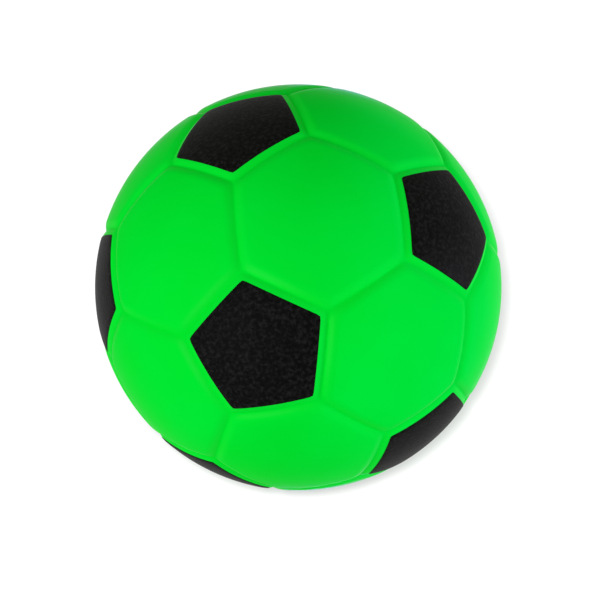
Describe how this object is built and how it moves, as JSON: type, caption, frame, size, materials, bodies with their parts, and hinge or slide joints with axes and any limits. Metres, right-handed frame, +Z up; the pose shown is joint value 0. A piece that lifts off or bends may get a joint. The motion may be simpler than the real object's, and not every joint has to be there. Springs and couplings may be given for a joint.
{
  "type": "foam soccer ball",
  "caption": "Soft foam play ball in a moulded skin with channels between pentagon and hexagon panels and printed pentagons.",
  "frame": {"origin": "middle of the ball", "axes": "+Z up through the middle of a hexagon, +X towards the nearest pentagon of the upper ring"},
  "size_m": [0.1002, 0.1, 0.1],
  "materials": {
    "foam": "soft open foam, matte",
    "skin": "smooth satin neon green skin",
    "print": "fine-grained satin black ink"
  },
  "bodies": {
    "root": {"foam_core": "foam", "skin_upper": "skin", "skin_lower": "skin", "pentagon_print_01": "print", "pentagon_print_02": "print", "pentagon_print_03": "print", "pentagon_print_04": "print", "pentagon_print_05": "print", "pentagon_print_06": "print", "pentagon_print_07": "print", "pentagon_print_08": "print", "pentagon_print_09": "print", "pentagon_print_10": "print", "pentagon_print_11": "print", "pentagon_print_12": "print"}
  },
  "joints": []
}
